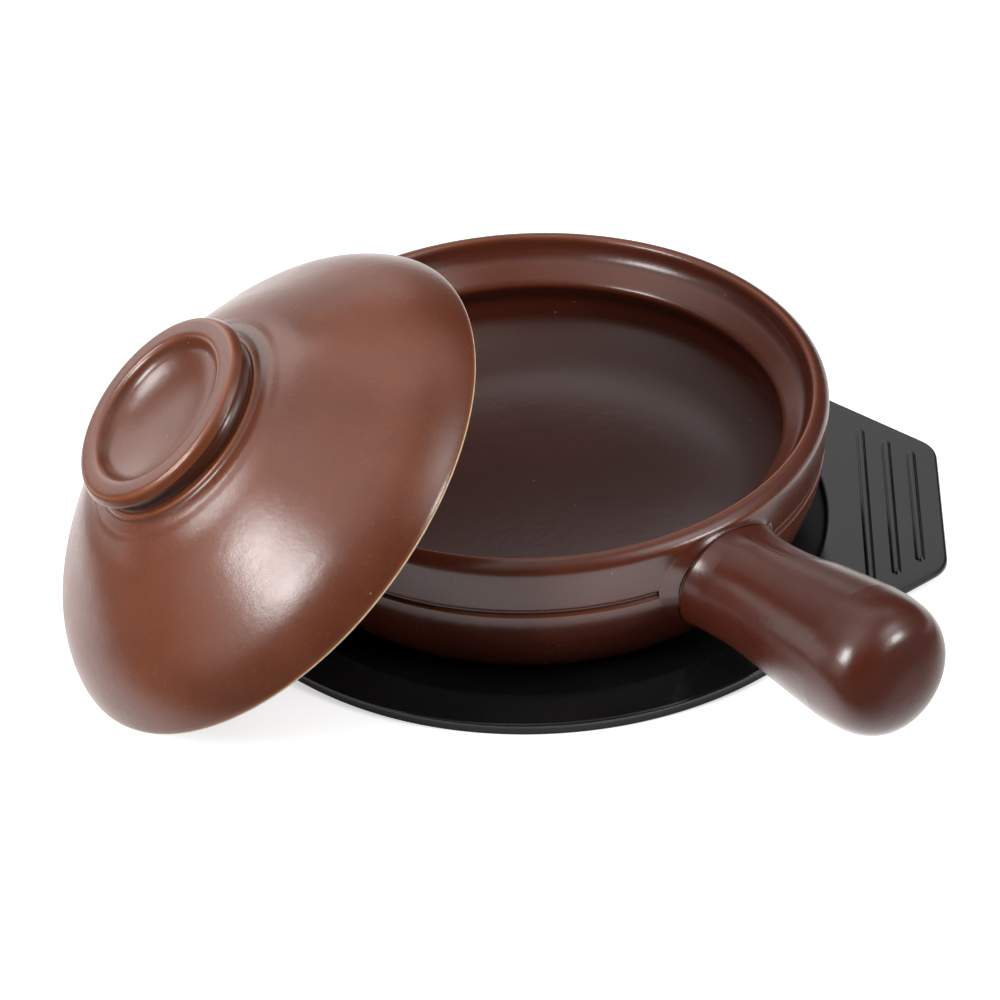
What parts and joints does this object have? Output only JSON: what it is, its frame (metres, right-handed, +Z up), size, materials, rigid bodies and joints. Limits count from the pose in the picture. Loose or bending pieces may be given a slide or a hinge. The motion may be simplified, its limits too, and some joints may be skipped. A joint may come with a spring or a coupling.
{
  "type": "ceramic cooking pot",
  "caption": "Shallow brown glazed ceramic cooking pot with a thick straight side handle, a domed lid with a dished ring knob, and a black tray with ribbed ears.",
  "frame": {"origin": "middle of the round underside of the tray, on the surface that the object stands on, on the pot's own axis", "axes": "+Z up along the pot's axis, +X out through the middle of one tray ear; the handle points to -Y and +X, and the lid leans on the -X side with its knob turned away from the pot"},
  "size_m": [0.2662, 0.2404, 0.1106],
  "materials": {
    "brown_glaze": "semi-gloss chocolate brown glaze with a fine orange-peel surface, thinner and more orange on edges, and a bare cream clay rim under the lid",
    "black_plastic": "satin black moulded plastic with a rougher cut edge"
  },
  "bodies": {
    "tray": {"tray": "black_plastic"},
    "pot": {"pot_body": "brown_glaze", "handle": "brown_glaze", "handle_collar": "brown_glaze"},
    "lid": {"lid_dome": "brown_glaze", "lid_knob": "brown_glaze"}
  },
  "joints": [
    {"name": "pot_lift", "type": "slide", "parent": "tray", "child": "pot", "axis": [0, 0, 1], "range_m": [0, 0.06]},
    {"name": "lid_lift", "type": "slide", "parent": "pot", "child": "lid", "axis": [0, 0, 1], "range_m": [0, 0.12]}
  ]
}
